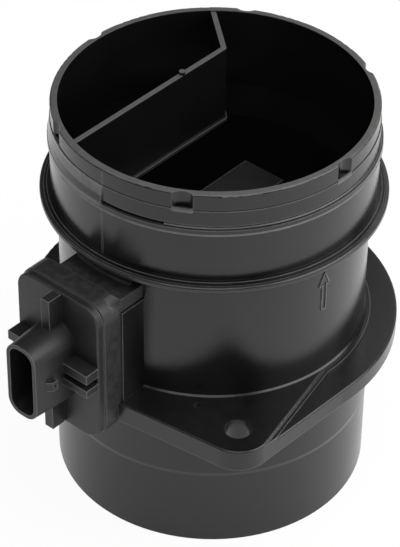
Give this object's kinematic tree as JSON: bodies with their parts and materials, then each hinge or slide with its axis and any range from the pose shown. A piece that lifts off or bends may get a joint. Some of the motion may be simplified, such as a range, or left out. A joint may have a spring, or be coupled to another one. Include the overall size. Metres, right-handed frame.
{
  "type": "mass airflow sensor",
  "caption": "Moulded round air duct with a hose spigot at each end, a flange with two bolt ears, a splitter vane in the outlet and a plug-in hot-film sensor with an electrical plug on its side",
  "frame": {"origin": "centre of the inlet rim, at the end of the inlet spigot", "axes": "+Z along the duct in the direction of the air flow, -Y toward the electrical plug, +X to the right seen from the plug"},
  "size_m": [0.0992, 0.1183, 0.1155],
  "materials": {
    "duct_plastic": "glass-filled black moulded plastic, satin-matte",
    "carrier_plastic": "black moulded plastic, satin-matte",
    "cover_plastic": "black moulded plastic lid",
    "seal_rubber": "soft black rubber",
    "terminal_metal": "tin-plated copper alloy",
    "spreader_metal": "bright rolled aluminium",
    "circuit_ceramic": "fired alumina ceramic",
    "chip_body": "moulded chip package",
    "capacitor_body": "brown ceramic with a dull surface",
    "holder_plastic": "fine moulded plastic",
    "silicon": "polished silicon with a thin film",
    "bead_glass": "amber glass bead",
    "lead_wire": "bright drawn wire",
    "grid_plastic": "black moulded plastic grid",
    "screen_metal": "stainless wire",
    "clip_metal": "spring steel"
  },
  "bodies": {
    "root": {"housing": "duct_plastic", "sensor_carrier": "carrier_plastic", "carrier_seal": "seal_rubber", "bypass_cover": "cover_plastic", "electronics_cover": "cover_plastic", "heat_spreader": "spreader_metal", "circuit_substrate": "circuit_ceramic", "signal_chip": "chip_body", "element_holder": "holder_plastic", "hot_film_element": "silicon", "temperature_bead": "bead_glass", "flow_grid": "grid_plastic", "wire_screen": "screen_metal", "clip_ring": "clip_metal", "capacitor_1": "capacitor_body", "capacitor_2": "capacitor_body", "temperature_lead_1": "lead_wire", "temperature_lead_2": "lead_wire", "terminal_1": "terminal_metal", "terminal_2": "terminal_metal", "terminal_3": "terminal_metal", "terminal_4": "terminal_metal", "terminal_5": "terminal_metal"}
  },
  "joints": []
}
